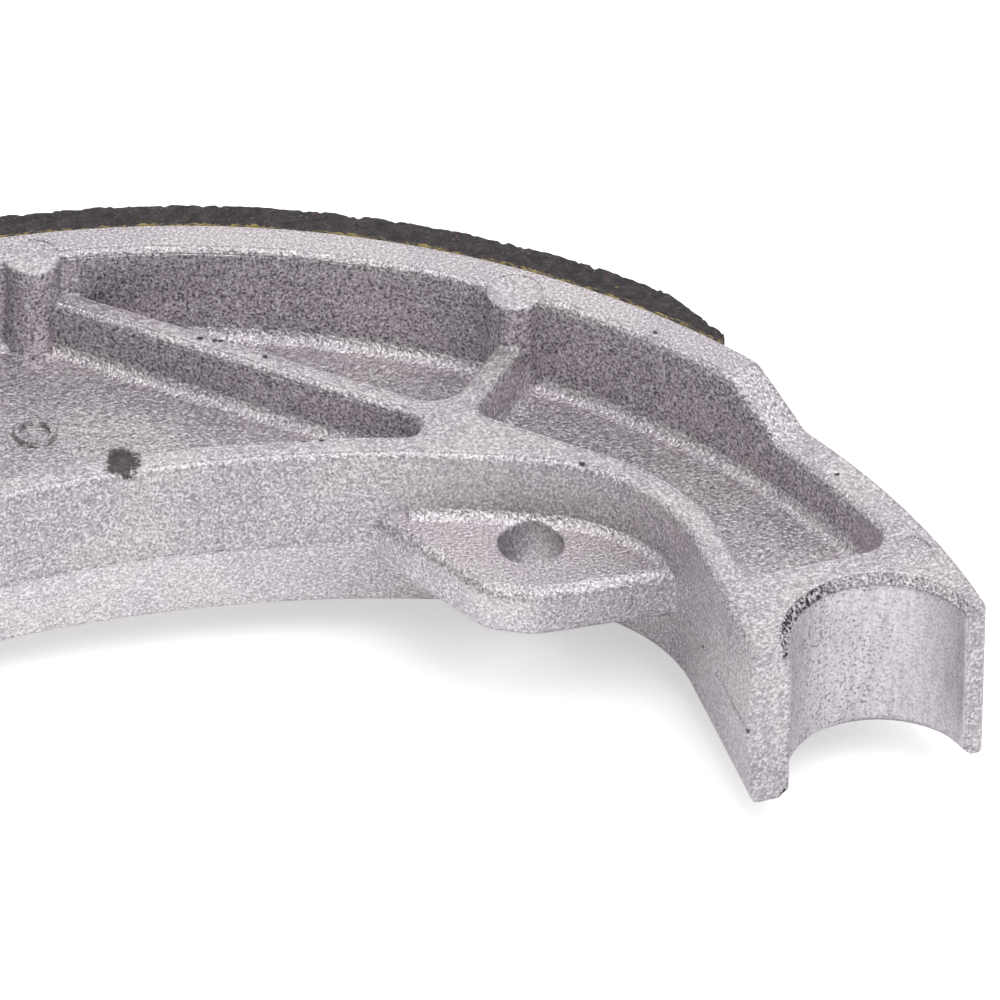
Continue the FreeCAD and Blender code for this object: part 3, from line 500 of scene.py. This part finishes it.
def adhesive_mesh():
    """The film and its two beads, swept along the rim. A bead's section is a quarter of a squarish
    ellipse: its width times a power of the cosine, its height times the same power of the sine,
    and a layered noise along the rim swells both."""
    turns = np.radians(np.linspace(FILM_END, 180 - FILM_END, BEAD_ROWS))[:, None]
    quarter = np.linspace(0, math.pi / 2, BEAD_STEPS)
    radii = []
    levels = []
    for side, seed in BEAD_SEEDS:
        bead = layered_noise(BEAD_ROWS, BEAD_MEAN, BEAD_LAYERS, seed)
        bead = np.clip(bead, *BEAD_RANGE)[:, None]
        radius = RIM_RADIUS_MM + FILM_GAP_MM + BEAD_WIDTH_MM * bead * np.cos(quarter) ** BEAD_POWER
        level = LINING_HALF_MM + FILM_GAP_MM + BEAD_HEIGHT_MM * bead * np.sin(quarter) ** BEAD_POWER
        film_radius = np.full((BEAD_ROWS, 1), RIM_RADIUS_MM + FILM_MM - FILM_GAP_MM)
        film_level = np.full((BEAD_ROWS, 1), LINING_HALF_MM - FILM_LAP_MM)
        radii.append(np.hstack([film_radius, radius])[:, ::side])
        levels.append(side * np.hstack([film_level, level])[:, ::side])
    radius = np.hstack(radii)
    points = np.stack([radius * np.cos(turns), radius * np.sin(turns), np.hstack(levels)], axis=2)
    return grid_mesh("adhesive_beads", points)


def cured_resin():
    """Cured phenolic resin: dull yellow-brown, nearly black where it is thin or dusty."""
    material, add, place = new_material("cured_resin")
    blotch = add("TexNoise", place, 1 / RESIN_BLOTCH_MM, Detail=3.0, Roughness=0.6)
    blotch = add("MapRange", blotch, *RESIN_BLOTCHES, **SMOOTH)
    tone = add("Mix", blotch, RESIN_THIN, RESIN_THICK, data_type="RGBA")
    dust = add("TexNoise", place, 1 / RESIN_DUST_MM, Detail=2.0, Roughness=0.6)
    dust = add("MapRange", dust, *RESIN_DUST_SPOTS, **SMOOTH)
    tone = add("Mix", dust, tone, RESIN_DUST, data_type="RGBA")
    skin = add("TexNoise", place, 1 / RESIN_SKIN_MM, Detail=2.0, Roughness=0.6)
    bump = add("Bump", Height=skin, Strength=0.6, Distance=RESIN_DEPTH_MM * MM)
    surface = add("BsdfPrincipled", Base_Color=tone, Roughness=0.55, Normal=bump)
    add("OutputMaterial", surface)
    return material


beads = adhesive_mesh()
beads.data.materials.append(cured_resin())
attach(beads, "root")
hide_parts("adhesive")


# Friction lining
# A moulded strip of dark friction compound with tapered ends, bonded to the rim. Its sawn sides
# and edges are ragged, with small chips, and red, ochre and grey specks show in the dark ground.
DRUM_RADIUS_MM = 62.5
LINING_THICK_MM = DRUM_RADIUS_MM - RIM_RADIUS_MM - FILM_MM
LINING_END = 32.5
TAPER_END = 37.8
TAPER_DEPTH_MM = 1.7
LINING_ROWS = 720
SIDE_STEPS = 22
FACE_STEPS = 44
WEAR_MM = 0.15
WEAR_MEAN = 0.5
WEAR_POWER = 1.5
# Noises of the wear and of the small chips: share, cell and seed
FINE_WEAR = (0.35, 2.2, 100)
BROAD_WEAR = (0.3, 5.0, 400)
SMALL_CHIP = (0.5, 1.7, 960)
BROAD_WEAR_COLUMNS = 3
EDGE_ROUND_MM = 0.3
EDGE_ROUND_DEPTH_MM = 0.135
CHIP_MM = 0.45
CHIP_CELL = 4
CHIP_SEED = 950
DENT_MM = 0.06
DENT_EDGE_MM = 0.6
DENT_CELL = 7
DENT_SEED = 900
COMPOUND_DARK = "#1F191D"
COMPOUND_PALE = "#373130"
COMPOUND_BLOTCH_MM = 0.8
COMPOUND_BLOTCHES = (0.35, 0.65)
GRIT_TONE = "#6A6469"
GRIT_MM = 0.22
GRIT_SPOTS = (0.58, 0.7)
GRIT_SHARE = 0.6
# Red and ochre fibres: size, limits of the noise, colour and share
FIBRES = ((1.0, (0.67, 0.7), "#94524A", 0.8), (0.9, (0.69, 0.72), "#80704A", 0.7))
FIBRE_STRETCH = (1.0, 1.6, 1.3)
COMPOUND_DEPTH_MM = 0.12


def polar_point(radius, degrees):
    """The point at a radius and an angle: the radius times the angle's cosine and sine."""
    return radius * np.array([math.cos(math.radians(degrees)), math.sin(math.radians(degrees))])


def lining_mesh():
    """A rectangle carried along the arc. Across the section a share runs from the rim to the drum
    and a level from side to side; near each end the outer radius is that of a straight chord, the
    line's distance over the cosine of the angle off it. Noise wears sides and face inwards, and the
    edges are rounded by a square law and chipped where a sparse noise is above zero."""
    degrees = np.linspace(LINING_END, 180 - LINING_END, LINING_ROWS)
    from_end = np.minimum(degrees, 180 - degrees)
    low = polar_point(DRUM_RADIUS_MM - TAPER_DEPTH_MM, LINING_END)
    along = polar_point(DRUM_RADIUS_MM, TAPER_END) - low
    square = np.array([along[1], -along[0]]) / np.linalg.norm(along)
    near = np.radians(from_end)
    chord = square.dot(low) / (square[0] * np.cos(near) + square[1] * np.sin(near))
    outer = np.where(from_end < TAPER_END, np.minimum(chord, DRUM_RADIUS_MM), DRUM_RADIUS_MM)[:, None]
    inner = RIM_RADIUS_MM + FILM_MM + FILM_GAP_MM

    # The section's points: up one side, over the face and down the other side
    side_share = np.linspace(0, 1, SIDE_STEPS)
    face_level = np.linspace(-1, 1, FACE_STEPS)[1:-1]
    share = np.concatenate([side_share, np.ones(len(face_level)), side_share[::-1]])
    level = np.concatenate([-np.ones(SIDE_STEPS), face_level, np.ones(SIDE_STEPS)])
    on_side = abs(level) == 1
    on_face = share == 1
    from_edge = np.where(on_side, (1 - share) * LINING_THICK_MM, (1 - abs(level)) * LINING_HALF_MM)

    # Wear, rounding, chips and dents, each as a depth for every point
    worn = []
    for index in range(len(share)):
        fine_share, fine_cell, fine_seed = FINE_WEAR
        broad_share, broad_cell, broad_seed = BROAD_WEAR
        broad = soft_noise(LINING_ROWS, broad_cell, broad_seed + index // BROAD_WEAR_COLUMNS)
        fine = soft_noise(LINING_ROWS, fine_cell, fine_seed + index)
        worn.append(WEAR_MEAN + fine_share * fine + broad_share * np.roll(broad, index))
    worn = WEAR_MM * np.clip(np.stack(worn, axis=1), 0, 1) ** WEAR_POWER
    rounding = EDGE_ROUND_DEPTH_MM * np.clip(1 - from_edge / EDGE_ROUND_MM, 0, 1) ** 2
    small_share, small_cell, small_seed = SMALL_CHIP
    small = small_share * soft_noise(LINING_ROWS, small_cell, small_seed)
    sides = [np.clip(soft_noise(LINING_ROWS, CHIP_CELL, CHIP_SEED + side) + small, 0, 1) for side in (0, 1)]
    chips = np.where(level > 0, sides[1][:, None], sides[0][:, None])
    chipped = CHIP_MM * chips ** WEAR_POWER * np.clip(1 - from_edge / CHIP_MM, 0, 1)
    dents = DENT_MM * np.clip(soft_noise(LINING_ROWS, DENT_CELL, DENT_SEED), 0, 1)[:, None]
    depth = worn + rounding + chipped

    radius = inner + (outer - inner) * share
    radius = radius - on_face * (depth + dents * (from_edge < DENT_EDGE_MM))
    reach = LINING_HALF_MM * level - on_side * np.sign(level) * depth
    turns = np.radians(degrees)[:, None]
    points = np.stack([radius * np.cos(turns), radius * np.sin(turns), reach], axis=2)
    return grid_mesh("lining_block", points)


def friction_compound():
    """Moulded friction compound: matt and nearly black, with grey grit, red and ochre fibres."""
    material, add, place = new_material("friction_compound")
    ground = add("TexNoise", place, 1 / COMPOUND_BLOTCH_MM, Detail=3.0, Roughness=0.65)
    blotches = add("MapRange", ground, *COMPOUND_BLOTCHES, **SMOOTH)
    tone = add("Mix", blotches, COMPOUND_DARK, COMPOUND_PALE, data_type="RGBA")
    grit = add("TexNoise", place, 1 / GRIT_MM, Detail=2.0, Roughness=0.6)
    grit_spots = add("MapRange", grit, *GRIT_SPOTS, **SMOOTH)
    grit_spots = add("Math", grit_spots, GRIT_SHARE, operation="MULTIPLY")
    tone = add("Mix", grit_spots, tone, GRIT_TONE, data_type="RGBA")
    stretched = add("VectorMath", place, FIBRE_STRETCH, operation="MULTIPLY")
    for size, limits, colour, share in FIBRES:
        fibre = add("TexNoise", stretched, 1 / size, Detail=3.0, Roughness=0.7, Distortion=0.9)
        fibre = add("MapRange", fibre, *limits, **SMOOTH)
        fibre = add("Math", fibre, share, operation="MULTIPLY")
        tone = add("Mix", fibre, tone, colour, data_type="RGBA")
    relief = add("Math", ground, grit, operation="ADD")
    bump = add("Bump", Height=relief, Strength=0.8, Distance=COMPOUND_DEPTH_MM * MM)
    surface = add("BsdfPrincipled", Base_Color=tone, Roughness=0.62, Normal=bump)
    add("OutputMaterial", surface)
    return material


lining = lining_mesh()
lining.data.materials.append(friction_compound())
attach(lining, "root")
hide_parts("friction_lining")


# Studio
# A plain white floor under the shoe, a pale surround that is brighter behind, above and to the
# right, one large soft light high in front, and the camera at the photograph's angle.
FLOOR_SIZE = 1.2
FLOOR_WHITE = "#F4F4F5"
FLOOR_GLOW = 0.5
MIRRORED_GLOW = 0.8
GLOW_FADE_MM = (10.0, 45.0)
LIGHT_AIM = (0, 0.035, 0)
LIGHT_AZIMUTH = math.radians(15)
LIGHT_ELEVATION = math.radians(66)
LIGHT_DISTANCE = 0.9
LIGHT_SIZE = 0.65
LIGHT_POWER = 4.2
SURROUND_WHITE = "#FFFDFF"
SURROUND_BRIGHT = (0.4, 0.7, 0.6)
SURROUND_CHANGE = (-0.5, 0.6)
SURROUND_DIM = 0.2
CAMERA_AZIMUTH = math.radians(-20.583)
CAMERA_ELEVATION = math.radians(38.496)
CAMERA_ROLL = math.radians(-0.926)
CAMERA_DISTANCE = 3.0
CAMERA_SENSOR_MM = 36.0
CAMERA_REACH = 20.0
PIXELS_PER_MM = 14.4866
DRUM_AXIS_PIXEL = (193.44, 860.09)
PICTURE = 1000


def towards(azimuth, elevation):
    """The direction to a place round the shoe: azimuth from the front, and elevation above the floor."""
    flat = math.cos(elevation)
    return Vector((math.sin(azimuth) * flat, -math.cos(azimuth) * flat, math.sin(elevation)))


def studio_floor():
    """A square sheet at the level of the shoe's lowest face."""
    half = FLOOR_SIZE / 2
    corners = [(x, y, cad_low[2]) for x, y in ((-half, -half), (half, -half), (half, half), (-half, half))]
    mesh = bpy.data.meshes.new("floor")
    mesh.from_pydata(corners, [], [(0, 1, 2, 3)])
    made = bpy.data.objects.new("floor", mesh)
    bpy.context.scene.collection.objects.link(made)
    return made


def white_paper():
    """Matt white paper, plain white to the camera; metal mirrors its glow, less towards the pivot end."""
    material, add, place = new_material("white_paper")
    rays = add("LightPath").node.outputs
    fade = add("MapRange", add("SeparateXYZ", place), *GLOW_FADE_MM, *FALLING, **SMOOTH)
    mirrored = add("Math", rays["Is Glossy Ray"], fade, operation="MULTIPLY")
    mirrored = add("Math", mirrored, MIRRORED_GLOW, operation="MULTIPLY")
    shown = add("Math", rays["Is Camera Ray"], mirrored, operation="ADD")
    glow = add("Math", shown, FLOOR_GLOW, operation="MULTIPLY")
    surface = add("BsdfPrincipled", Base_Color=FLOOR_WHITE, Roughness=0.9, Specular_IOR_Level=0.1,
                  Emission_Color="#FFFFFF", Emission_Strength=glow)
    add("OutputMaterial", surface)
    return material


floor = studio_floor()
floor.data.materials.append(white_paper())

light_data = bpy.data.lights.new("light_top", "AREA")
light_data.size = LIGHT_SIZE
light_data.energy = LIGHT_POWER
light = bpy.data.objects.new("light_top", light_data)
light_direction = towards(LIGHT_AZIMUTH, LIGHT_ELEVATION)
light.location = Vector(LIGHT_AIM) + light_direction * LIGHT_DISTANCE
light.rotation_euler = light_direction.to_track_quat("Z", "Y").to_euler()
bpy.context.scene.collection.objects.link(light)

# The surround lights the shoe by direction, and is plain white to the camera
world = bpy.data.worlds.new("surround")
world.use_nodes = True
world.node_tree.nodes.clear()
add = partial(add_node, world.node_tree)
direction = add("TexCoord").node.outputs["Generated"]
brightness = add("VectorMath", direction, SURROUND_BRIGHT, operation="DOT_PRODUCT")
brightness = add("MapRange", brightness, *SURROUND_CHANGE, SURROUND_DIM, 1, **SMOOTH)
lighting = add("Background", SURROUND_WHITE, brightness)
seen = add("Background", "#FFFFFF", 1.0)
camera_ray = add("LightPath").node.outputs["Is Camera Ray"]
add("OutputWorld", add("MixShader", camera_ray, lighting, seen))
bpy.context.scene.world = world
bpy.context.scene.view_settings.view_transform = "Standard"

# The camera is turned so that the drum's axis falls on its pixel, with the photograph's roll
right = Vector((math.cos(CAMERA_AZIMUTH), math.sin(CAMERA_AZIMUTH), 0))
back = towards(CAMERA_AZIMUTH, CAMERA_ELEVATION)
up = back.cross(right)
focal_pixels = PIXELS_PER_MM * CAMERA_DISTANCE / MM
aim_right = (PICTURE / 2 - DRUM_AXIS_PIXEL[0]) / focal_pixels
aim_up = (DRUM_AXIS_PIXEL[1] - PICTURE / 2) / focal_pixels
rolled_right = right * math.cos(CAMERA_ROLL) - up * math.sin(CAMERA_ROLL)
rolled_up = right * math.sin(CAMERA_ROLL) + up * math.cos(CAMERA_ROLL)
backward = (back - rolled_right * aim_right - rolled_up * aim_up).normalized()
sideways = rolled_up.cross(backward).normalized()
upward = backward.cross(sideways)
camera_data = bpy.data.cameras.new("camera")
camera_data.sensor_width = CAMERA_SENSOR_MM
camera_data.lens = CAMERA_SENSOR_MM * focal_pixels / PICTURE
camera_data.clip_end = CAMERA_REACH
camera = bpy.data.objects.new("camera", camera_data)
turn = Matrix((sideways, upward, backward)).transposed().to_4x4()
camera.matrix_world = Matrix.Translation(back * CAMERA_DISTANCE) @ turn
bpy.context.scene.collection.objects.link(camera)
bpy.context.scene.camera = camera
